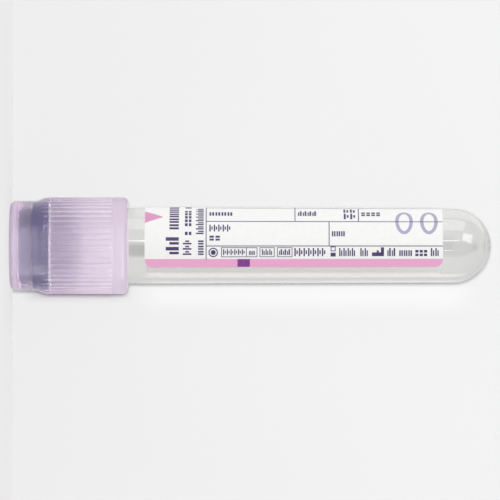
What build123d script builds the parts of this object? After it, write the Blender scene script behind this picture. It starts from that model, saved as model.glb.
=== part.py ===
# Evacuated blood collection tube, 13 x 75 mm, standing on its safety closure with its foot up.
#
# Four pieces: a clear injection moulded tube with a round foot, a paper label glued round it,
# a rubber stopper that seals the mouth, and a translucent plastic shield that carries the stopper.
# On its side the tube would roll away, but the closure's flat head carries it upside down.
#
# Frame: +Z runs up the tube's axis, from the closure's head on the ground to the round foot.
# The front is -Y, where the label's ruled part is. The origin is in the middle of the head.
# Every profile is drawn in stations: a distance from the head face, and a radius from the axis.
import os
from math import cos, radians, sin

from build123d import *

# ---------------------------------------------------------------- driving dimensions, mm
# tube
tube_length = 75.0
tube_mouth_radius = 6.5
tube_draft = 0.23            # by which the foot's radius is less than the mouth's
mouth_wall = 0.9
foot_wall = 0.8
mouth_round = 0.3            # outside edge of the mouth
mouth_lead_in = 0.25         # chamfer that guides the stopper in
seal_margin = 1.7            # straight bore beyond the stopper, before the draft starts
gate_radius = 0.9            # mark that the mould's gate leaves at the middle of the foot
gate_depth = 0.18

# label
label_closure_gap = 2.95     # bare tube between the closure and the label
label_foot_gap = 2.03        # bare wall between the label and the round foot
label_width = 31.0           # round the tube, which leaves a bare window along it
label_edge_angle = 34.4      # of its first edge, from the front towards +X
label_thickness = 0.1
glue_thickness = 0.02
label_corner = 1.4

# stopper
collar_length = 2.3          # part that stands up into the shield's head
flange_length = 2.8
flange_lip = 0.45            # how far the flange stands out past the tube's mouth
flange_step = 0.7            # how far it stands out past the collar
plug_length = 5.3
relief_length = 2.0          # slimmer neck between the flange and the sealing land
relief_depth = 0.3
nose_length = 0.6
nose_inset = 0.7
well_step = 0.6              # ledge between the shield's opening and the well in the top
well_depth = 3.8
well_draft = 0.7
membrane = 3.2               # rubber that the needle pierces, between the well and the cavity
cavity_rim = 2.16            # wall round the cavity in the bottom of the plug
cavity_draft = 0.4
recess_round = 0.8
rubber_chamfer = 0.2

# shield
head_plate = 1.6             # thickness of the ring that closes the head
head_wall = 1.3              # round the stopper's collar
head_length = 3.9            # straight part of the head
flare_length = 2.7           # shoulder between the head and the skirt
opening_radius = 4.6         # the hole that a needle goes through
skirt_wall = 1.1
shield_length = 20.0
bead_length = 0.9            # ring that holds the stopper's flange from below
head_round = 0.9
lip_lead_in = 0.2            # chamfer inside the skirt's lip
lip_flat = 0.05              # flat ring left at the end of the lip
opening_chamfer = 0.25

# grip grooves, cut along the skirt
groove_count = 48
groove_depth = 0.22
groove_half_width = 0.38
plain_band = 2.6             # skirt without grooves, next to the lip

# fits
collar_clearance = 0.05      # round the stopper's collar and flange inside the shield
seal_clearance = 0.04        # between the sealing land and the tube's bore
bead_clearance = 0.25        # between the shield's bead and the tube
skirt_clearance = 0.6        # between the shield's skirt and the tube

# ---------------------------------------------------------------- derived places
# stations along the tube
flange_top = head_plate + collar_length
mouth = flange_top + flange_length                 # the flange's underside seats on the tube's mouth
foot = mouth + tube_length
plug_end = mouth + plug_length
well_floor = head_plate + well_depth
cavity_roof = well_floor + membrane
flare_end = head_length + flare_length
groove_end = shield_length - plain_band
groove_spacing = 360 / groove_count                # degrees
label_first = shield_length + label_closure_gap

# radii, from the tube outwards
tube_foot_radius = tube_mouth_radius - tube_draft
bore_radius = tube_mouth_radius - mouth_wall
foot_bore_radius = tube_foot_radius - foot_wall
flange_radius = tube_mouth_radius + flange_lip
collar_radius = flange_radius - flange_step
bead_radius = tube_mouth_radius + bead_clearance
skirt_bore_radius = tube_mouth_radius + skirt_clearance
skirt_radius = skirt_bore_radius + skirt_wall
head_radius = collar_radius + collar_clearance + head_wall
lip_round = skirt_wall - lip_lead_in - lip_flat

# radii of the stopper's plug and recesses
land_radius = bore_radius - seal_clearance
neck_radius = land_radius - relief_depth
nose_radius = land_radius - nose_inset
cavity_radius = nose_radius - cavity_rim
cavity_roof_radius = cavity_radius - cavity_draft
well_radius = opening_radius - well_step
well_floor_radius = well_radius - well_draft

# the round foot
foot_centre = foot - tube_foot_radius              # both domes share this centre
label_last = foot_centre - label_foot_gap
seal_end = plug_end + seal_margin

tube_axis = Axis((0, 0, 0), (0, 0, 1))


def outward(angle):
    """The direction away from the tube's axis, at an angle from the front towards +X."""
    return Vector(sin(radians(angle)), -cos(radians(angle)), 0)


def around(angle):
    """The direction round the tube in which that angle grows."""
    return Vector(cos(radians(angle)), sin(radians(angle)), 0)


def turning_plane(angle):
    """The plane through the tube's axis in which a profile is drawn, at an angle as above."""
    return Plane(origin=tube_axis.position, x_dir=tube_axis.direction, z_dir=around(angle))


profile_plane = turning_plane(0)


def rim(part, station, radius):
    """The circular edge of a turned part at one station and radius."""
    return part.edges().filter_by(
        lambda edge: edge.geom_type == GeomType.CIRCLE
        and abs(edge.arc_center.Z - station) < 0.01
        and abs(edge.radius - radius) < 0.01
    )


def tube_radius_at(station):
    """The tube's outer radius along its drafted wall."""
    share = (station - mouth) / (foot_centre - mouth)
    return tube_mouth_radius + (tube_foot_radius - tube_mouth_radius) * share


# ---------------------------------------------------------------- tube
with BuildPart() as tube:
    with BuildSketch(profile_plane):
        with BuildLine():
            outer_wall = Line((mouth, tube_mouth_radius), (foot_centre, tube_foot_radius))
            outer_dome = CenterArc((foot_centre, 0), tube_foot_radius, 0, 90)
            foot_line = Line(outer_dome @ 0, (foot_centre + foot_bore_radius, 0))
            inner_dome = CenterArc((foot_centre, 0), foot_bore_radius, 0, 90)
            inner_wall = Line(inner_dome @ 1, (seal_end, bore_radius))
            seal_wall = Line(inner_wall @ 1, (mouth, bore_radius))
            mouth_line = Line(seal_wall @ 1, outer_wall @ 0)
        make_face()
    revolve(axis=tube_axis)
    fillet(rim(tube, mouth, tube_mouth_radius), mouth_round)
    chamfer(rim(tube, mouth, bore_radius), mouth_lead_in)
    with BuildSketch(profile_plane):
        with BuildLine():
            Polyline(
                (foot - gate_depth, 0),
                (foot + gate_depth, 0),
                (foot + gate_depth, gate_radius),
                (foot - gate_depth, gate_radius),
                close=True,
            )
        make_face()
    revolve(axis=tube_axis, mode=Mode.SUBTRACT)

# ---------------------------------------------------------------- label
label_radius = tube_radius_at((label_first + label_last) / 2)
label_arc = label_width / radians(1) / label_radius
corner_arc = label_corner / radians(1) / label_radius

with BuildPart() as label:
    with BuildSketch(turning_plane(label_edge_angle)):
        with BuildLine():
            glue_line = Line(
                (label_first, tube_radius_at(label_first) + glue_thickness),
                (label_last, tube_radius_at(label_last) + glue_thickness),
            )
            Polyline(
                glue_line @ 1,
                glue_line @ 1 + Vector(0, label_thickness),
                glue_line @ 0 + Vector(0, label_thickness),
                glue_line @ 0,
            )
        make_face()
    revolve(axis=tube_axis.reverse(), revolution_arc=label_arc)
    # round the four corners: each cutter is what a square has outside a quarter circle
    for edge_angle, turn in ((label_edge_angle, 1), (label_edge_angle - label_arc, -1)):
        for end, way in ((label_first, -1), (label_last, 1)):
            centre_angle = edge_angle - turn * corner_arc
            past_end = way * tube_axis.direction
            corner_plane = Plane(
                origin=(0, 0, end - way * label_corner),
                x_dir=past_end,
                z_dir=past_end.cross(around(centre_angle) * turn),
            )
            with BuildSketch(corner_plane):
                Rectangle(2 * label_corner, 2 * label_corner, align=(Align.MIN, Align.MIN))
                Circle(label_corner, mode=Mode.SUBTRACT)
            extrude(amount=skirt_radius, dir=outward(centre_angle), mode=Mode.SUBTRACT)

# ---------------------------------------------------------------- stopper
with BuildPart() as stopper:
    with BuildSketch(profile_plane):
        with BuildLine():
            Polyline(
                (head_plate, well_radius),
                (head_plate, collar_radius),
                (flange_top, collar_radius),
                (flange_top, flange_radius),
                (mouth, flange_radius),
                (mouth, neck_radius),
                (mouth + relief_length, neck_radius),
                (mouth + relief_length + relief_depth, land_radius),
                (plug_end - nose_length, land_radius),
                (plug_end, nose_radius),
                (plug_end, cavity_radius),
                (cavity_roof, cavity_roof_radius),
                (cavity_roof, 0),
                (well_floor, 0),
                (well_floor, well_floor_radius),
                close=True,
            )
        make_face()
    revolve(axis=tube_axis)
    fillet(
        rim(stopper, well_floor, well_floor_radius)
        + rim(stopper, cavity_roof, cavity_roof_radius),
        recess_round,
    )
    chamfer(
        rim(stopper, head_plate, collar_radius)
        + rim(stopper, flange_top, flange_radius)
        + rim(stopper, mouth, flange_radius)
        + rim(stopper, plug_end, cavity_radius)
        + rim(stopper, plug_end, nose_radius),
        rubber_chamfer,
    )

# ---------------------------------------------------------------- shield
# one grip groove's section, with X away from the tube's axis: a thin V between two rounded
# ridges, whose sides are arcs that leave the skirt's surface level and meet at the bottom
groove_side_radius = (groove_half_width**2 + groove_depth**2) / (2 * groove_depth)
with BuildSketch() as groove:
    with BuildLine():
        RadiusArc((0, -groove_half_width), (-groove_depth, 0), -groove_side_radius)
        RadiusArc((-groove_depth, 0), (0, groove_half_width), -groove_side_radius)
        Polyline(
            (0, groove_half_width),
            (groove_depth, groove_half_width),
            (groove_depth, -groove_half_width),
            (0, -groove_half_width),
        )
    make_face()

with BuildPart() as shield:
    # turned from the middle of a ridge, which keeps the seam out of the grooves
    with BuildSketch(turning_plane(groove_spacing / 2)):
        with BuildLine():
            Polyline((0, opening_radius), (0, head_radius), (head_length, head_radius))
            middle = (head_length + flare_end) / 2
            Bezier(
                (head_length, head_radius),
                (middle, head_radius),
                (middle, skirt_radius),
                (flare_end, skirt_radius),
            )
            Polyline(
                (flare_end, skirt_radius),
                (shield_length, skirt_radius),
                (shield_length, skirt_bore_radius),
                (mouth + bead_length, skirt_bore_radius),
                (mouth + bead_length / 2, bead_radius),
                (mouth, bead_radius),
                (mouth, flange_radius + collar_clearance),
                (flange_top, flange_radius + collar_clearance),
                (flange_top, collar_radius + collar_clearance),
                (head_plate, collar_radius + collar_clearance),
                (head_plate, opening_radius),
                (0, opening_radius),
            )
        make_face()
    revolve(axis=tube_axis)
    fillet(rim(shield, 0, head_radius), head_round)
    fillet(rim(shield, shield_length, skirt_radius), lip_round)
    chamfer(rim(shield, shield_length, skirt_bore_radius), lip_lead_in)
    chamfer(rim(shield, 0, opening_radius), opening_chamfer)

    # the grip grooves fade out where the shoulder drops below their bottoms
    with BuildSketch(Plane(origin=(0, 0, groove_end), x_dir=outward(0), z_dir=(0, 0, -1))):
        with PolarLocations(skirt_radius, groove_count):
            add(groove.sketch)
    extrude(amount=groove_end - head_length, mode=Mode.SUBTRACT)

# ---------------------------------------------------------------- files
os.makedirs("parts", exist_ok=True)

tube.part.label = "tube"
export_step(tube.part, "parts/tube.step")

label.part.label = "label"
export_step(label.part, "parts/label.step")

stopper.part.label = "stopper"
export_step(stopper.part, "parts/stopper.step")

shield.part.label = "shield"
export_step(shield.part, "parts/shield.step")
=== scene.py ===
# %% [markdown]
# # A capped blood collection tube
#
# The object is a clear plastic sample tube with a round foot, a glued paper label, and a pull-off
# closure: a soft rubber stopper inside a ribbed shield of milky lavender plastic. Its solids come
# ready made from CAD, standing on the closure's flat head with the foot up. This script dresses
# them: it prints the label, makes the four materials, and sets the tube before a white card.
#
# Along the tube, +Z runs from the closure to the foot. The front is -Y.

from math import cos, pi, radians, sin, tan

import bmesh
import bpy
from mathutils import Matrix, Vector


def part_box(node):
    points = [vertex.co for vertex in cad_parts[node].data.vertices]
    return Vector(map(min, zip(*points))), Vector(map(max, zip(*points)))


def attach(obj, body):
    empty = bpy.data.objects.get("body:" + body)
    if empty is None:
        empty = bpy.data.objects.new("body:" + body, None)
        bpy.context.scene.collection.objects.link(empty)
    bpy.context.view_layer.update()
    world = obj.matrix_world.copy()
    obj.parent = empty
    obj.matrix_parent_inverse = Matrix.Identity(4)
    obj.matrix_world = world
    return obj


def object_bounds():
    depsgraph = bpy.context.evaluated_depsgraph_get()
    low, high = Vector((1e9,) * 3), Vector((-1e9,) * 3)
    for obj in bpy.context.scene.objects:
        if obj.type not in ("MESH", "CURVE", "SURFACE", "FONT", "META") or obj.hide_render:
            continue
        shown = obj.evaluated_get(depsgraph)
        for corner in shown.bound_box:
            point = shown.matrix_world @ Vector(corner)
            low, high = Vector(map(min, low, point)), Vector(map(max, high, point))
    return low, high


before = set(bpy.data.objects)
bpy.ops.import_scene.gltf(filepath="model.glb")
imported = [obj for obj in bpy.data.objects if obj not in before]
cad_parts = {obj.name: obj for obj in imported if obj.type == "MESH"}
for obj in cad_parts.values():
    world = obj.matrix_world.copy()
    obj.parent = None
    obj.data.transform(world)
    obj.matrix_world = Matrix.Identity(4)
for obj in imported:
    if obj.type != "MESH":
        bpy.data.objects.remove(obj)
solid_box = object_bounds()
mm = 0.001
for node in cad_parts:
    low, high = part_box(node)
    print(f"{node}: {low.z / mm:.1f} to {high.z / mm:.1f} mm up the tube")

# %% [markdown]
# ## Where the label lies
#
# Everything printed on the label has to follow its curve. The label was rolled round a tube that
# tapers a little, so its radius is measured on its own mesh, at both ends. A place on the paper is
# then given as a drawing would give it: `along` the tube from the label's closure end, and `up`
# round the tube from the label's first edge. Wrapping turns the flat place into a point in space.

# %% Measure the label
label_low, label_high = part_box("label")
first_edge_angle = radians(34.4)  # from the front, towards +X


def outer_radius(mesh, height):
    """The largest distance from the axis among a mesh's points at one height."""
    ring = [v.co for v in mesh.vertices if abs(v.co.z - height) < 0.05 * mm]
    return max(Vector((p.x, p.y)).length for p in ring)


label_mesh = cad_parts["label"].data
radius_low = outer_radius(label_mesh, label_low.z)
radius_high = outer_radius(label_mesh, label_high.z)
drawing_radius = 6.45 * mm  # up is a length round the tube at this radius
print(f"label radius {radius_low / mm:.3f} mm at the closure, {radius_high / mm:.3f} mm at the foot")


def wrapped(along, up, lift):
    """The point at a place on the label, lifted off the paper, with all three in metres."""
    share = along / (label_high.z - label_low.z)
    radius = radius_low + (radius_high - radius_low) * share + lift
    angle = first_edge_angle - up / drawing_radius
    return Vector((radius * sin(angle), -radius * cos(angle), label_low.z + along))


# %% [markdown]
# ## Printing
#
# Ink on paper is a layer about a hundredth of a millimetre thick. It could be painted into the
# label's material, but a layer made of mesh keeps sharp edges at any distance. Each kind of mark
# is one piece: flat outlines are laid on the drawing, cut by fold lines every two degrees so that
# they can bend, given a thickness, and wrapped on.

# %% A helper that turns flat outlines into a layer of ink
fold_spacing = 0.225 * mm
ink_top = 0.012 * mm
ink_root = 0.02 * mm  # under the paper's surface, so that no gap shows


def print_on_label(name, outlines, lift=0.0):
    """One layer of ink. Outlines are lists of (along, up) places in millimetres."""
    sheet = bmesh.new()
    for outline in outlines:
        sheet.faces.new([sheet.verts.new((a * mm, u * mm, 0)) for a, u in outline])
    top = max(v.co.y for v in sheet.verts)
    fold = min(v.co.y for v in sheet.verts) + fold_spacing
    while fold < top:
        everything = sheet.verts[:] + sheet.edges[:] + sheet.faces[:]
        bmesh.ops.bisect_plane(sheet, geom=everything, plane_co=(0, fold, 0), plane_no=(0, 1, 0))
        fold += fold_spacing
    copies = bmesh.ops.extrude_face_region(sheet, geom=sheet.faces[:], use_keep_orig=True)
    raised = {v for v in copies["geom"] if isinstance(v, bmesh.types.BMVert)}
    for v in sheet.verts:
        height = ink_top + lift if v in raised else -ink_root
        v.co = wrapped(v.co.x, v.co.y, height)
    bmesh.ops.recalc_face_normals(sheet, faces=sheet.faces[:])
    sheet.verts.index_update()
    # sorted, because the faces' own order isn't the same on each run
    faces = sorted([v.index for v in face.verts] for face in sheet.faces)
    mesh = bpy.data.meshes.new(name)
    mesh.from_pydata([v.co[:] for v in sheet.verts], [], faces)
    sheet.free()
    piece = bpy.data.objects.new(name, mesh)
    bpy.context.scene.collection.objects.link(piece)
    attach(piece, "tube")
    print(f"{name}: {len(outlines)} shapes, {len(mesh.polygons)} faces")
    return piece


def box(a0, a1, u0, u1):
    """A filled rectangle."""
    return [(a0, u0), (a1, u0), (a1, u1), (a0, u1)]


def frame_of(a0, a1, u0, u1, line):
    """The outline of a rectangle, as four bars that don't overlap."""
    return [
        box(a0, a1, u0, u0 + line),
        box(a0, a1, u1 - line, u1),
        box(a0, a0 + line, u0 + line, u1 - line),
        box(a1 - line, a1, u0 + line, u1 - line),
    ]


def ring(a, u, outer, inner, segments=28, stretch=1.0):
    """A round outline, as short pieces side by side. Stretch lengthens it round the tube."""
    pieces = []
    for i in range(segments):
        corners = []
        for step, radius in ((i, outer), (i + 1, outer), (i + 1, inner), (i, inner)):
            turn = 2 * pi * step / segments
            reach = radius + (stretch - 1) * outer
            corners.append((a + radius * cos(turn), u + reach * sin(turn)))
        pieces.append(corners)
    return pieces


# %% [markdown]
# ## What is printed
#
# A pink band runs along the first edge, with a plum tab on it, and an arrow points from the
# closure along the tube. All three are flat colour up to a clean edge, so each is one outline. The
# band's ends follow the label's rounded corners.

# %% The band, the arrow and the tab
label_length = (label_high.z - label_low.z) / mm
corner = 1.4
band_top = 1.62


def band_outline():
    """The band, with the label's two rounded corners."""
    bend = corner - 0.02
    outline = [(0.02, band_top)]
    for middle, first_turn in ((corner, 180), (label_length - corner, 270)):
        for i in range(9):
            turn = radians(first_turn + 90 * i / 8)
            outline.append((middle + bend * cos(turn), corner + bend * sin(turn)))
    return outline + [(label_length - 0.02, band_top)]


band = print_on_label("print_band", [band_outline()])
arrow = print_on_label("print_arrow", [[(0.03, 7.95), (3.15, 9.3), (0.03, 10.85)]])
tab = print_on_label("print_tab", [box(15.7, 17.8, 0.16, 1.6)], lift=0.004 * mm)

# %% [markdown]
# Thin rules divide the paper into boxes to write in. They could be curves with a width, but a rule
# is only a long thin rectangle. Where two cross, one lies a hair above the other, because two
# faces in one place would flicker.

# %% The ruled boxes
rule = 0.14
rows = (3.84, 8.3, 12.78, 17.25, 21.7)
rule_start = 10.4
long_rules = [box(rule_start, label_length - 0.01, u - rule / 2, u + rule / 2) for u in rows]
cross_rules = [box(rule_start - rule / 2, rule_start + rule / 2, band_top - 0.1, rows[-1])]
for a, low_row, high_row in ((31.2, 0, 1), (25.44, 1, 2), (36.2, 1, 2), (25.44, 2, 3), (25.44, 3, 4)):
    cross_rules.append(box(a - rule / 2, a + rule / 2, rows[low_row], rows[high_row]))
print_long_rules = print_on_label("print_long_rules", long_rules)
print_cross_rules = print_on_label("print_cross_rules", cross_rules, lift=0.002 * mm)

# %% [markdown]
# The words are generic bars: the rhythm of upright strokes without any letters, at the height and
# weight of real captions. Equal bars would look like a comb. So there are five patterns of two
# strokes that stand for a letter, and each run of words repeats one of them.

# %% Words as bars
# each stroke is (start, end, foot, top) in shares of a letter's place and of the words' height
stroke_patterns = (
    ((0.06, 0.36, 0.0, 1.0), (0.52, 0.8, 0.0, 0.72)),
    ((0.08, 0.38, 0.0, 0.72), (0.54, 0.86, 0.0, 0.72)),
    ((0.1, 0.4, 0.0, 1.0), (0.56, 0.84, 0.26, 0.72)),
    ((0.06, 0.32, 0.0, 0.72), (0.46, 0.82, 0.0, 1.0)),
    ((0.1, 0.82, 0.0, 0.3), (0.1, 0.82, 0.44, 0.76)),
)


def words(start, end, foot, top, letter, pattern, gaps, upright=True):
    """A run of bars from start to end, with letters of about that width in one pattern. The gaps
    are the letters left out. Upright runs along the tube, otherwise round it."""
    bars = []
    count = max(1, round((end - start) / letter))
    place = (end - start) / count
    for i in range(count):
        if i in gaps:
            continue
        for s0, s1, low, high in stroke_patterns[pattern]:
            a0, a1 = start + place * (i + s0), start + place * (i + s1)
            u0, u1 = foot + (top - foot) * low, foot + (top - foot) * high
            if not upright:
                a0, a1, u0, u1 = foot + top - u1, foot + top - u0, a0, a1
            bars.append(box(a0, a1, u0, u1))
    return bars


# each run is (start, end, foot, top, letter, pattern, gaps)
caption_runs = (
    # the ruled rows, from the top
    (10.87, 14.95, 9.68, 11.12, 1.0, 1, ()),
    (25.9, 29.15, 9.68, 11.12, 0.85, 3, ()),
    (33.6, 35.8, 10.7, 12.1, 1.0, 0, ()),
    (33.6, 35.8, 8.85, 10.35, 1.0, 2, ()),
    (36.6, 40.0, 9.68, 11.12, 0.85, 4, ()),
    (10.87, 14.6, 6.33, 7.6, 0.8, 2, ()),
    (10.87, 12.9, 4.75, 5.85, 0.85, 4, ()),
    (31.6, 33.95, 5.5, 6.75, 0.75, 1, ()),
    # the line of small print above the band
    (25.24, 30.67, 2.1, 3.5, 0.78, 2, ()),
    (32.85, 37.87, 2.1, 3.5, 0.72, 0, (4,)),
    (41.0, 42.5, 2.1, 3.5, 0.75, 3, ()),
    (43.0, 45.3, 2.1, 3.5, 0.72, 1, ()),
    (45.7, 47.9, 2.1, 3.5, 0.72, 4, ()),
    (48.35, 49.87, 2.1, 3.5, 0.74, 0, ()),
    # its boxed captions
    (13.2, 17.0, 2.32, 3.3, 0.64, 2, ()),
    (17.6, 18.7, 2.32, 3.3, 0.6, 1, ()),
    (19.8, 21.65, 2.32, 3.3, 0.62, 0, ()),
    (22.7, 24.7, 2.32, 3.3, 0.66, 3, ()),
)
captions = [bar for run in caption_runs for bar in words(*run)]
print_captions = print_on_label("print_captions", captions)

# %% The three lines that run round the tube
line_runs = (
    # the heading
    (2.35, 5.6, 3.57, 5.78, 1.6, 3, ()),
    (6.6, 23.0, 3.57, 5.78, 1.3, 1, ()),
    # the second line
    (2.25, 4.9, 6.47, 7.9, 0.86, 2, ()),
    (5.6, 11.3, 6.47, 7.9, 0.82, 4, (1,)),
    (12.3, 19.2, 6.47, 7.9, 0.82, 1, (4,)),
    # the third line
    (2.25, 4.9, 8.68, 9.97, 0.86, 1, ()),
    (5.8, 12.4, 8.68, 9.97, 0.84, 0, ()),
)
lines = [bar for run in line_runs for bar in words(*run, upright=False)]
print_lines = print_on_label("print_lines", lines)

# %% [markdown]
# The last marks are plain shapes: a ring with a dot, boxes round captions, and small blocks in
# purple, and two rings in pale lavender. A ring could be a curve with a bevel, but short flat
# pieces side by side take the same path to the paper as the rest. The pale rings lie a hair lower
# than the rule that crosses them.

# %% Small symbols and boxes
symbols = ring(11.6, 2.75, 0.8, 0.62) + ring(11.6, 2.75, 0.42, 0.02, segments=16)
for start, end in ((12.94, 19.06), (19.45, 21.97), (22.4, 24.98)):
    symbols += frame_of(start, end, 1.95, 3.62, 0.11)
symbols += [box(17.15, 17.26, 2.06, 3.51)]
symbols += frame_of(31.45, 32.3, 2.95, 3.75, 0.13) + [box(31.45, 32.3, 2.04, 2.7)]
symbols += [box(38.44, 40.47, 2.1, 2.75), box(39.25, 39.6, 2.75, 3.1), box(39.95, 40.47, 2.75, 3.62)]
print_symbols = print_on_label("print_symbols", symbols, lift=0.001 * mm)

# %% Two pale rings
pale_marks = []
for along in (43.9, 48.1):
    pale_marks += ring(along, 8.35, 1.5, 0.92, stretch=1.65)
print_pale = print_on_label("print_pale_marks", pale_marks, lift=-0.003 * mm)

# %% [markdown]
# ## Materials
#
# Each finish starts as a Principled shader. What is the same all over is set on its own sockets.
# What varies, such as the wave that a mould leaves or the mottle of rubber, comes from noise in
# the object's own coordinates, in metres, so that it stays put as the piece moves. Most finishes
# keep a middling plain colour or roughness under the noise, for viewers that read no nodes.


# %% Helpers: a finish and its nodes
def finish(name, **sockets):
    """A new material and its shader, with uniform values set straight on the shader."""
    material = bpy.data.materials.new(name)
    material.use_nodes = True
    shader = material.node_tree.nodes["Principled BSDF"]
    for socket, value in sockets.items():
        shader.inputs[socket.replace("_", " ")].default_value = value
    return material, shader


def node(owner, kind, **values):
    """A node in a material or world, with the given properties, or input values where it has
    inputs of that name."""
    made = owner.node_tree.nodes.new(kind)
    for name, value in values.items():
        socket = made.inputs.get(name.replace("_", " "))
        if socket is None:
            setattr(made, name, value)
        else:
            socket.default_value = value
    return made


def wire(owner, source, target):
    """Feeds a socket with another node's output, or with a plain value."""
    if isinstance(source, bpy.types.NodeSocket):
        owner.node_tree.links.new(source, target)
    else:
        target.default_value = source


def noise(material, per_millimetre, detail=3.0, stretch=(1, 1, 1)):
    """Noise with so many features per millimetre. Stretch scales them along each axis."""
    place = node(material, "ShaderNodeTexCoord")
    scaled = node(material, "ShaderNodeMapping")
    scaled.inputs["Scale"].default_value = [1000 * per_millimetre / s for s in stretch]
    pattern = node(material, "ShaderNodeTexNoise", Scale=1.0, Detail=detail)
    wire(material, place.outputs["Object"], scaled.inputs["Vector"])
    wire(material, scaled.outputs["Vector"], pattern.inputs["Vector"])
    return pattern.outputs["Fac"]


def two_colours(material, pattern, first, second, start=0.3, end=0.7):
    """A colour that turns from the first into the second while the pattern rises."""
    blend = node(material, "ShaderNodeValToRGB")
    for stop, place, colour in zip(blend.color_ramp.elements, (start, end), (first, second)):
        stop.position = place
        stop.color = (*colour, 1)
    wire(material, pattern, blend.inputs["Fac"])
    return blend.outputs["Color"]


def vary_colour(material, shader, pattern, first, second):
    """The pattern blends two colours into the shader's base colour."""
    wire(material, two_colours(material, pattern, first, second), shader.inputs["Base Color"])


def emboss(material, shader, pattern, height):
    """The pattern as a bump of that height, in metres."""
    bump = node(material, "ShaderNodeBump", Strength=1.0, Distance=height)
    wire(material, pattern, bump.inputs["Height"])
    wire(material, bump.outputs["Normal"], shader.inputs["Normal"])


def wear(piece, material):
    """The piece gets this material and no other."""
    piece.data.materials.clear()
    piece.data.materials.append(material)
    print(f"{piece.name} wears {material.name}")


# %% [markdown]
# ### Zones of a piece
#
# Some finishes change from one zone of a piece to the next: the rubber is paler below its flange,
# and the shield is milkier along its skirt. Such zones could be painted on an image. Here they are
# read off the piece's own measures, as a station along the tube's axis or a distance from it, so
# that they stay sharp and follow the solid.


# %% Helpers: numbers that depend on the place
def calculate(owner, operation, *values):
    """The result of one operation on numbers or on the outputs of other nodes."""
    made = node(owner, "ShaderNodeMath", operation=operation)
    for value, socket in zip(values, made.inputs):
        wire(owner, value, socket)
    return made.outputs["Value"]


def ramp(owner, source, start, end, low=0.0, high=1.0, shape="SMOOTHSTEP"):
    """A number that goes from low to high while the source goes from start to end."""
    rise = node(owner, "ShaderNodeMapRange", interpolation_type=shape)
    wire(owner, source, rise.inputs["Value"])
    wire(owner, start, rise.inputs["From Min"])
    wire(owner, end, rise.inputs["From Max"])
    wire(owner, low, rise.inputs["To Min"])
    wire(owner, high, rise.inputs["To Max"])
    return rise.outputs["Result"]


def vary_roughness(material, shader, pattern, low, high):
    """The pattern moves the roughness between two values."""
    wire(material, ramp(material, pattern, 0, 1, low, high, "LINEAR"), shader.inputs["Roughness"])


def own_place(material):
    """The X, Y and Z of the point on the piece itself, in metres."""
    place = node(material, "ShaderNodeTexCoord")
    axes = node(material, "ShaderNodeSeparateXYZ")
    wire(material, place.outputs["Object"], axes.inputs["Vector"])
    return axes.outputs


def from_axis(material):
    """The point's distance from the tube's axis, in metres."""
    place = node(material, "ShaderNodeTexCoord")
    flat = node(material, "ShaderNodeMapping")
    flat.inputs["Scale"].default_value = (1, 1, 0)
    distance = node(material, "ShaderNodeVectorMath", operation="LENGTH")
    wire(material, place.outputs["Object"], flat.inputs["Vector"])
    wire(material, flat.outputs["Vector"], distance.inputs[0])
    return distance.outputs["Value"]


# %% Helpers: several looks on one surface
def look_of(material):
    """What the surface of a material looks like so far."""
    return material.node_tree.nodes["Material Output"].inputs["Surface"].links[0].from_socket


def mix_looks(material, share, first, second):
    """A look that is the first, apart from this share of the second."""
    mix = node(material, "ShaderNodeMixShader")
    wire(material, share, mix.inputs["Fac"])
    wire(material, first, mix.inputs[1])
    wire(material, second, mix.inputs[2])
    return mix.outputs["Shader"]


def show(material, look):
    """Makes this the look of the surface."""
    wire(material, look, material.node_tree.nodes["Material Output"].inputs["Surface"])


def share_surface(material, kind, colour, share):
    """Gives a share of the surface to another plain shader, and returns that shader."""
    second = node(material, kind, Color=(*colour, 1))
    show(material, mix_looks(material, share, look_of(material), second.outputs[0]))
    return second


# %% [markdown]
# ### Light that passes through
#
# Clear plastic, milky plastic and paper all let light through. Tracing every lamp's light through
# the walls of a tube gives specks that take thousands of samples to settle. So the pieces have two
# looks. To the camera, and in reflection and refraction, they have their real finish. To the light
# of lamps and to light that has bounced off a matt surface, they are a thin film.


# %% A helper that makes a piece pass light
def blend_colours(material, share, first, second, way="MIX"):
    """A colour between two, by the share of the second."""
    blend = node(material, "ShaderNodeMix", data_type="RGBA", blend_type=way)
    wire(material, share, blend.inputs[0])
    wire(material, first, blend.inputs[6])
    wire(material, second, blend.inputs[7])
    return blend.outputs[2]


def let_light_through(material, tint, bending=1.5):
    """Bounced light passes the surface freely. The light of a lamp keeps the tint's share, and
    less where it meets the surface slantwise, as a real wall of that refractive index, the
    bending, would turn it aside."""
    ray = node(material, "ShaderNodeLightPath")
    lamp_light = ray.outputs["Is Shadow Ray"]
    slant = node(material, "ShaderNodeFresnel", IOR=bending)
    lost_head_on = ((bending - 1) / (bending + 1)) ** 2
    lost = ramp(material, slant.outputs["Fac"], lost_head_on, 1, shape="LINEAR")
    lamp_tint = blend_colours(material, lost, (*tint, 1), (0, 0, 0, 1))
    film = node(material, "ShaderNodeBsdfTransparent")
    film_tint = blend_colours(material, lamp_light, (1, 1, 1, 1), lamp_tint)
    wire(material, film_tint, film.inputs["Color"])
    passing = calculate(material, "MAXIMUM", lamp_light, ray.outputs["Is Diffuse Ray"])
    show(material, mix_looks(material, passing, look_of(material), film.outputs["BSDF"]))


# %% [markdown]
# ### Clear tube
#
# Moulded PET is as clear as glass and bends light a little more. What gives it away as moulded
# plastic is a faint long wave in its surface, which makes every reflection waver. A trace of grey
# inside makes thick, slanting walls darker than thin ones. The tube's mouth is pressed against the
# stopper and shines out white through the milky shield, because the wall guides light to its end.
# A ray would have to bounce many times inside the wall to find that light, so the last 0.3 mm at
# the mouth glow a little by themselves.

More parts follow.
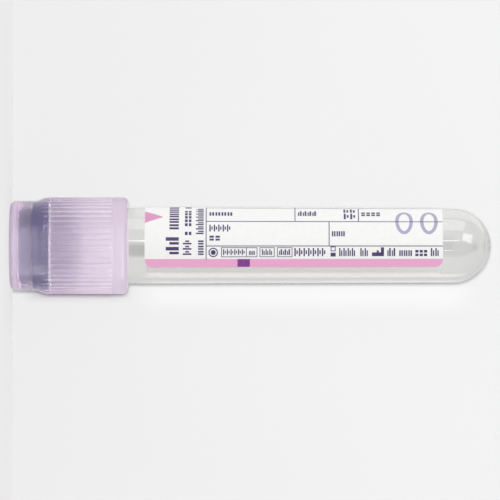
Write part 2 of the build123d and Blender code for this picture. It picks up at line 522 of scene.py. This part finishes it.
# %% Clear tube
clear, clear_shader = finish(
    "clear_plastic",
    Base_Color=(1, 1, 1, 1),
    Transmission_Weight=1.0,
    IOR=1.57,
    Roughness=0.025,
)
long_wave = noise(clear, 0.12, detail=1.0, stretch=(1, 1, 4))
emboss(clear, clear_shader, long_wave, 0.012 * mm)
vary_roughness(clear, clear_shader, noise(clear, 0.4), 0.015, 0.04)
grey = node(clear, "ShaderNodeVolumeAbsorption", Color=(0.42, 0.40, 0.36, 1), Density=130)
wire(clear, grey.outputs["Volume"], clear.node_tree.nodes["Material Output"].inputs["Volume"])
mouth_glow = node(clear, "ShaderNodeEmission", Color=(0.95, 0.86, 1, 1), Strength=0.72)
mouth_face = node(clear, "ShaderNodeBsdfDiffuse", Color=(1, 1, 1, 1))
mouth_white = mix_looks(clear, 0.5, mouth_glow.outputs["Emission"], mouth_face.outputs["BSDF"])
past_mouth = ramp(clear, own_place(clear)["Z"], 7.0 * mm, 7.15 * mm)
show(clear, mix_looks(clear, past_mouth, mouth_white, look_of(clear)))
let_light_through(clear, (0.99, 0.99, 0.985), bending=1.45)
wear(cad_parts["tube"], clear)

# %% [markdown]
# ### Milky shield
#
# The shield is polyethylene with a little lavender dye. It scatters light, so the dark stopper
# shows through it as a soft shape. Scattering inside a wall 1 mm thick could be rendered as it is,
# but it is slow and noisy. Here the surface is a mix. One share is satin transmission, tinted by
# the dye in the wall. Another, the cloud, is milky and glows with light from behind it. A small
# share is lit from the front, and a coat gives it gloss. The wall is milkier where it stands clear
# of what is behind it, and clearer where it lies on the stopper, so each share is given in steps
# along the shield.

# %% Milky shield: the plastic
milky, milky_shader = finish(
    "milky_lavender_plastic",
    Transmission_Weight=0.97,
    IOR=1.25,
    Coat_Roughness=0.08,
)
vary_colour(milky, milky_shader, noise(milky, 0.25, 2.0), (0.97, 0.93, 0.975), (0.985, 0.955, 0.99))
dye = node(milky, "ShaderNodeVolumeAbsorption", Color=(0.88, 0.66, 0.90, 1), Density=100)
wire(milky, dye.outputs["Volume"], milky.node_tree.nodes["Material Output"].inputs["Volume"])
emboss(milky, milky_shader, noise(milky, 2.0, 2.0), 0.0006 * mm)

shield_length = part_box("shield")[1].z
bore_edge = 7.3 * mm  # nearer the axis than this is the shield's bore
blend_width = 0.2 * mm
roughness = ramp(
    milky,
    from_axis(milky),
    bore_edge - blend_width / 2,
    bore_edge + blend_width / 2,
    0.32,
    0.24,
    "LINEAR",
)
wire(milky, roughness, milky_shader.inputs["Roughness"])


# %% Milky shield: its looks in steps along it
def read_off(owner, source, stops):
    """A number read off a graph. The source is the place along it, from 0 to 1. The graph runs
    straight from stop to stop, and each stop is (place, level)."""
    graph = node(owner, "ShaderNodeValToRGB")
    points = graph.color_ramp.elements
    points.remove(points[1])
    for i, (place, level) in enumerate(stops):
        point = points.new(place) if i else points[0]
        point.position = place
        point.color = (level, level, level, 1)
    wire(owner, source, graph.inputs["Fac"])
    return graph.outputs["Color"]


def steps_along_shield(*steps):
    """A number that holds a level from one station to the next. Each step is (height in mm from
    the head's face, level), and the levels blend just before each station."""
    heights = [height * mm for height, level in steps[1:]] + [shield_length]
    stops = []
    for (height, level), next_height in zip(steps, heights):
        stops += [(height * mm / shield_length, level)]
        stops += [((next_height - blend_width) / shield_length, level)]
    share_of_length = ramp(milky, own_place(milky)["Z"], 0, shield_length, shape="LINEAR")
    return read_off(milky, share_of_length, stops)


cloud = steps_along_shield((0, 0.62), (1.5, 0.3), (3.8, 0.09), (7.2, 0.52), (17.6, 0.75))
share_surface(milky, "ShaderNodeBsdfTranslucent", (0.97, 0.88, 0.99), cloud)
lit_face = steps_along_shield((0, 0.26), (1.3, 0.04), (3.8, 0.02), (7.2, 0.08), (17.6, 0.04))
share_surface(milky, "ShaderNodeBsdfDiffuse", (0.93, 0.83, 0.96), lit_face)

# %% [markdown]
# The stopper's flange is squeezed against the bore, so there its dark rubber shows sharp and deep,
# as through wet glass. The solids have a hair's clearance between them. So the bore takes a dark
# share of its own at the flange's height, and the coat is on the outside only.

# %% Milky shield: the bore where the flange presses on it
on_bore = calculate(milky, "LESS_THAN", from_axis(milky), bore_edge)
flange_reach = steps_along_shield((0, 0.0), (3.95, 0.85), (6.7, 0.0))
pressed = calculate(milky, "MULTIPLY", on_bore, flange_reach)
share_surface(milky, "ShaderNodeBsdfDiffuse", (0.075, 0.058, 0.22), pressed)
gloss = steps_along_shield((0, 0.5), (3.8, 1.0), (6.7, 0.52), (17.6, 0.3))
outside = calculate(milky, "SUBTRACT", 1, on_bore)
wire(milky, calculate(milky, "MULTIPLY", outside, gloss), milky_shader.inputs["Coat Weight"])
let_light_through(milky, (0.72, 0.57, 0.74))
wear(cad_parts["shield"], milky)

# %% [markdown]
# ### Rubber stopper
#
# Butyl rubber is matt and dark, here a slate purple, with a fine mottle from its fillers. The
# mottle could be an image wrapped round the stopper, but noise has no seam. The plug below the
# flange, which is seen through the tube's wall and the shield, gets a pale painted veil added to
# the rubber's own colour: painted light that stands in for light scattered by the walls in front.

# %% Rubber stopper
rubber, rubber_shader = finish(
    "slate_purple_rubber",
    Base_Color=(0.05, 0.045, 0.1, 1),
    Roughness=0.5,
)
mottle = two_colours(rubber, noise(rubber, 1.5), (0.026, 0.029, 0.12), (0.045, 0.048, 0.17), 0, 1)
below_flange = ramp(rubber, own_place(rubber)["Z"], 6.5 * mm, 7.2 * mm)
# painted light: a pale veil added to the plug's colour below the flange, for light scattered by the
# tube's wall and the shield
plug_painted_veil = blend_colours(rubber, below_flange, mottle, (0.2, 0.16, 0.25, 1), "ADD")
wire(rubber, plug_painted_veil, rubber_shader.inputs["Base Color"])
vary_roughness(rubber, rubber_shader, noise(rubber, 2.5), 0.42, 0.6)
emboss(rubber, rubber_shader, noise(rubber, 9.0), 0.006 * mm)
wear(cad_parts["stopper"], rubber)

# %% [markdown]
# ### Label paper and inks
#
# The paper is coated white with a soft gloss. Its fibres are too fine to model, and show only as a
# faint mottle and bump. Inks sit on it, slightly shinier, with the small unevenness of a press.
#
# The paper's inner face is seen through the bare window and the clear ends. It is soaked with
# light that comes in through the wall, more of it near the window. It glows weakly for that
# reason, on the side nearer the axis than the middle of the paper's thickness.

# %% Label paper
paper, paper_shader = finish(
    "coated_paper",
    Base_Color=(0.93, 0.93, 0.91, 1),
    Roughness=0.42,
    Emission_Color=(1, 0.99, 0.96, 1),
)
vary_colour(paper, paper_shader, noise(paper, 1.2, 4.0), (0.92, 0.92, 0.905), (0.95, 0.95, 0.935))
emboss(paper, paper_shader, noise(paper, 7.0, 4.0), 0.003 * mm)
let_light_through(paper, (0.95, 0.95, 0.94))

half_thickness = 0.05 * mm
taper = (radius_high - radius_low) / (label_high.z - label_low.z)
middle_at_ground = radius_low - half_thickness - taper * label_low.z
paper_place = own_place(paper)
middle = calculate(paper, "MULTIPLY_ADD", paper_place["Z"], taper, middle_at_ground)
inner_face = calculate(paper, "LESS_THAN", from_axis(paper), middle)
through_window = ramp(paper, paper_place["X"], 5.2 * mm, 5.6 * mm, 0.18, 0.5)
soaked = calculate(paper, "MULTIPLY", inner_face, through_window)
wire(paper, soaked, paper_shader.inputs["Emission Strength"])
wear(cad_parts["label"], paper)
print(f"label tapers by {-taper * 1000:.1f} mm in a metre")


# %% Inks
def ink(name, colour, *pieces):
    """An ink of that colour on each of the pieces, a little lighter where the press held back."""
    material, shader = finish(name, Base_Color=(*colour, 1), Roughness=0.35)
    lighter = [c + 0.06 * (1 - c) for c in colour]
    vary_colour(material, shader, noise(material, 5.0, 4.0), colour, lighter)
    vary_roughness(material, shader, noise(material, 3.0), 0.3, 0.42)
    for piece in pieces:
        wear(piece, material)


ink("band_pink_ink", (0.84, 0.39, 0.62), band)
ink("arrow_pink_ink", (0.72, 0.30, 0.53), arrow)
ink("plum_ink", (0.19, 0.008, 0.24), tab)
ink("purple_ink", (0.045, 0.018, 0.135), print_captions, print_lines, print_symbols)
ink("rule_ink", (0.06, 0.035, 0.17), print_long_rules, print_cross_rules)
ink("pale_lavender_ink", (0.42, 0.40, 0.58), print_pale)

# %% [markdown]
# ## The floor and the white card
#
# The tube stands on a pale floor with its side against a white card, which gives the soft shadow
# of an object on paper. Floor and card could be one bent backdrop, but its bend would keep the
# tube away from the card. The card has one side. From behind, and for the room's light that comes
# from there, it isn't there, so that the tube can be seen and lit from every side.


# %% Floor and card
def stage_sheet(name, corners):
    """A flat sheet that belongs to the set, not to the object."""
    mesh = bpy.data.meshes.new(name)
    mesh.from_pydata(corners, [], [range(len(corners))])
    sheet = bpy.data.objects.new(name, mesh)
    bpy.context.scene.collection.objects.link(sheet)
    return sheet


skirt_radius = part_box("shield")[1].y
card_y = skirt_radius + 0.02 * mm
half_width = 1.2  # metres
floor_corners = [(x, y, 0) for x, y in box(-half_width, half_width, -half_width, half_width)]
floor = stage_sheet("floor", floor_corners)
card_corners = [(x, card_y, z) for x, z in box(-half_width, half_width, 0, half_width)]
card = stage_sheet("card", card_corners)
print(f"card {card_y / mm:.2f} mm behind the tube's axis")


# %% White finishes
def white_finish(name, glow, albedo):
    """Matt white with light of its own, like a lit table."""
    material, shader = finish(
        name,
        Roughness=0.8,
        Specular_IOR_Level=0.0,
        Emission_Color=(1, 1, 1, 1),
        Emission_Strength=glow,
    )
    darker = [0.985 * albedo] * 3
    vary_colour(material, shader, noise(material, 0.02, 2.0), darker, [albedo] * 3)
    return material


white_floor = white_finish("white_floor", glow=0.63, albedo=0.2)
let_light_through(white_floor, (1, 1, 1))
wear(floor, white_floor)
white_card = white_finish("one_sided_white_card", glow=0.2, albedo=0.05)
wear(card, white_card)

# %% [markdown]
# The tube works as a lens: it gathers light into a soft bright band on the card beside it, and
# takes it away elsewhere. Little light gets into the corner between the closure and the card.
# Nothing of this comes by itself here, because the pieces pass lamp light as plain films. So the
# card's own light varies in soft patches, each the product of smooth edges.

# %% Patches of light on the card
card_shader = white_card.node_tree.nodes["Principled BSDF"]
card_place = own_place(white_card)


def patch_on_card(*edges):
    """A number that is 1 inside a patch of the card. Each edge is (axis, where it is 0, where it
    is 1), with the places in mm."""
    inside = 1
    for axis, start, end in edges:
        edge = ramp(white_card, card_place[axis], start * mm, end * mm)
        inside = calculate(white_card, "MULTIPLY", inside, edge)
    return inside


foot_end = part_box("tube")[1].z / mm
gathered = patch_on_card(
    ("X", 6.4, 7.6), ("X", 12.5, 8.5), ("Z", 20, 26), ("Z", foot_end, foot_end - 8)
)
dim_corner = patch_on_card(("X", 10, 8.2), ("X", 4, 7), ("Z", 1, 5), ("Z", 21.5, 16))
card_glow = calculate(white_card, "MULTIPLY_ADD", gathered, 0.065, 0.2)
wire(white_card, card_glow, card_shader.inputs["Emission Strength"])
# painted shadow: the card's glow turns dark purple in the corner between the closure and the card
painted_corner_shadow = blend_colours(white_card, dim_corner, (1, 1, 1, 1), (0.15, 0.0, 0.17, 1))
wire(white_card, painted_corner_shadow, card_shader.inputs["Emission Color"])

# %% [markdown]
# What shines through the plastics from the card is a plain glow of its own, without the shadow
# that a lamp throws on the card, and with its own patches. Matt surfaces get an even light from
# the card, and its back is clear.

# %% The card as other rays find it
shaded = patch_on_card(("X", -0.7, 0.1), ("X", 2.6, 1.6), ("Z", 60, 30))
bright_side = patch_on_card(("X", -40, -25), ("X", -5.8, -7.4), ("Z", 19, 22))
glow_behind = 0.77
for patch, gain in ((gathered, 0.3), (shaded, -0.2), (bright_side, 0.17)):
    glow_behind = calculate(white_card, "MULTIPLY_ADD", patch, gain, glow_behind)
card_ray = node(white_card, "ShaderNodeLightPath")
not_camera = calculate(white_card, "SUBTRACT", 1, card_ray.outputs["Is Camera Ray"])
seen_through = share_surface(white_card, "ShaderNodeEmission", (1, 1, 1), not_camera)
wire(white_card, glow_behind, seen_through.inputs["Strength"])
even_glow = (1.05, 1.05, 1.05)
share_surface(white_card, "ShaderNodeEmission", even_glow, card_ray.outputs["Is Diffuse Ray"])
card_side = node(white_card, "ShaderNodeNewGeometry")
share_surface(
    white_card, "ShaderNodeBsdfTransparent", (1, 1, 1), card_side.outputs["Backfacing"]
)

# %% [markdown]
# ## The room
#
# The room lights matt surfaces almost evenly. What gloss and clear plastic show of it is another
# matter: it is dark in front of the tube, where the person with the camera would stand, and bright
# towards the sides. That darkness is what gives a clear tube its contrast. A ring of grey walls
# could be modelled for it, but a graph of brightness by the angle round the tube does the same.

# %% Room
world = bpy.data.worlds.new("room")
bpy.context.scene.world = world
world.use_nodes = True
world.node_tree.nodes.clear()
direction = node(world, "ShaderNodeTexCoord")
room_axes = node(world, "ShaderNodeSeparateXYZ")
wire(world, direction.outputs["Generated"], room_axes.inputs["Vector"])
across, depth = room_axes.outputs["X"], room_axes.outputs["Y"]
even_light = ramp(world, depth, -0.2, 0.2, 0.75, 1.0)

# the angle round the tube from the front, towards -X
turned = calculate(
    world,
    "ARCTAN2",
    calculate(world, "MULTIPLY", across, -1),
    calculate(world, "MULTIPLY", depth, -1),
)
# each is (that angle in degrees, brightness)
wall_levels = ((-180, 0.93), (-40, 0.93), (-32, 0.12), (8, 0.12), (24, 0.93), (180, 0.93))
mirrored_room = read_off(
    world,
    ramp(world, turned, -pi, pi, shape="LINEAR"),
    [((angle + 180) / 360, level) for angle, level in wall_levels],
)

ray_kind = node(world, "ShaderNodeLightPath")
shine = calculate(
    world, "MAXIMUM", ray_kind.outputs["Is Glossy Ray"], ray_kind.outputs["Is Transmission Ray"]
)
gloss_or_light = ramp(world, shine, 0, 1, even_light, mirrored_room, "LINEAR")
pale_ground = 0.86  # what the camera sees of the room itself
brightness = ramp(
    world, ray_kind.outputs["Is Camera Ray"], 0, 1, gloss_or_light, pale_ground, "LINEAR"
)
background = node(world, "ShaderNodeBackground", Color=(1, 1, 1, 1))
room_out = node(world, "ShaderNodeOutputWorld")
wire(world, brightness, background.inputs["Strength"])
wire(world, background.outputs["Background"], room_out.inputs["Surface"])
print("room is dark from", wall_levels[2][0], "to", wall_levels[3][0], "degrees round from the front")

# %% [markdown]
# ## Lamps
#
# In a studio each lamp is placed for what it does on one surface, and this set does the same. All
# lamps are rectangles at one distance. A thin strip draws the bright line along the tube, and a
# box towards the foot gives its round end a highlight. A box in front lights matt surfaces and
# isn't mirrored. The others are linked to one piece each, as a flag or a grid on a stand would
# keep a lamp off the rest: two wide boxes put a veil of gloss on the satin shield, one brightens
# one edge of the clear tube, and a small strong one throws the tube's short shadow on the card.


# %% A helper that hangs a lamp
target = Vector((0, 0, (solid_box[0].z + solid_box[1].z) / 2))
lamp_distance = 1.2  # metres


def soft_box(name, from_side, from_foot, wide, tall, brightness):
    """A rectangular lamp. The first two are angles away from the front, towards -X and +Z, and
    the next two are the angles that it spans. Brightness 1 is white."""
    toward = Vector((-tan(radians(from_side)), -1, tan(radians(from_foot)))).normalized()
    lamp = bpy.data.lights.new(name, "AREA")
    lamp.shape = "RECTANGLE"
    lamp.size = 2 * lamp_distance * tan(radians(wide / 2))
    lamp.size_y = 2 * lamp_distance * tan(radians(tall / 2))
    lamp.energy = brightness * pi * lamp.size * lamp.size_y
    holder = bpy.data.objects.new(name, lamp)
    sideways = toward.cross(Vector((0, 0, 1))).normalized()
    upward = sideways.cross(toward).normalized()
    holder.matrix_world = Matrix.Translation(target + toward * lamp_distance) @ Matrix(
        (sideways, upward, toward)
    ).transposed().to_4x4()
    holder.visible_camera = False
    bpy.context.scene.collection.objects.link(holder)
    print(f"{name}: {lamp.energy:.2f} W")
    return holder


def only_for(lamp, piece):
    """The lamp lights this piece alone."""
    alone = bpy.data.collections.new(f"{lamp.name}_only")
    alone.objects.link(piece)
    lamp.light_linking.receiver_collection = alone


# %% Lamps
soft_box("strip_lamp", from_side=16.6, from_foot=4, wide=3, tall=26, brightness=4.5)
soft_box("foot_box", from_side=32, from_foot=48, wide=26, tall=30, brightness=2.4)
front_box = soft_box("front_box", from_side=3, from_foot=0, wide=14, tall=14, brightness=6)
front_box.visible_glossy = False
front_box.visible_transmission = False

veil_box = soft_box("veil_box", from_side=0, from_foot=0, wide=100, tall=90, brightness=18)
side_veil = soft_box("side_veil_box", from_side=-68, from_foot=0, wide=34, tall=90, brightness=22)
top_box = soft_box("top_box", from_side=81, from_foot=0, wide=62, tall=60, brightness=2)
for gloss_lamp, piece in ((veil_box, "shield"), (side_veil, "shield"), (top_box, "tube")):
    gloss_lamp.visible_diffuse = False
    gloss_lamp.visible_transmission = False
    only_for(gloss_lamp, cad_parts[piece])

shadow_lamp = soft_box("shadow_lamp", from_side=1.5, from_foot=0, wide=6, tall=6, brightness=4300)
shadow_lamp.visible_glossy = False
shadow_lamp.visible_transmission = False
only_for(shadow_lamp, card)

# %% [markdown]
# ## Camera
#
# A lens close by would make the closure's near side look bigger than it is. So a long lens nearly
# a metre away looks straight at the front, turned so that the tube lies across the picture with
# its closure to the left.

# %% Camera
below_axis = 0.71 * mm
left_of_middle = 0.05 * mm
camera_distance = 0.95  # metres
lens = bpy.data.cameras.new("camera")
lens.sensor_width = 36
lens.lens = 401.9
camera = bpy.data.objects.new("camera", lens)
picture_right = Vector((0, 0, 1))
picture_up = Vector((-1, 0, 0))
camera.matrix_world = Matrix.Translation(
    (below_axis, -camera_distance, target.z - left_of_middle)
) @ Matrix((picture_right, picture_up, picture_right.cross(picture_up))).transposed().to_4x4()
bpy.context.scene.collection.objects.link(camera)
bpy.context.scene.camera = camera
bpy.context.scene.view_settings.view_transform = "Standard"
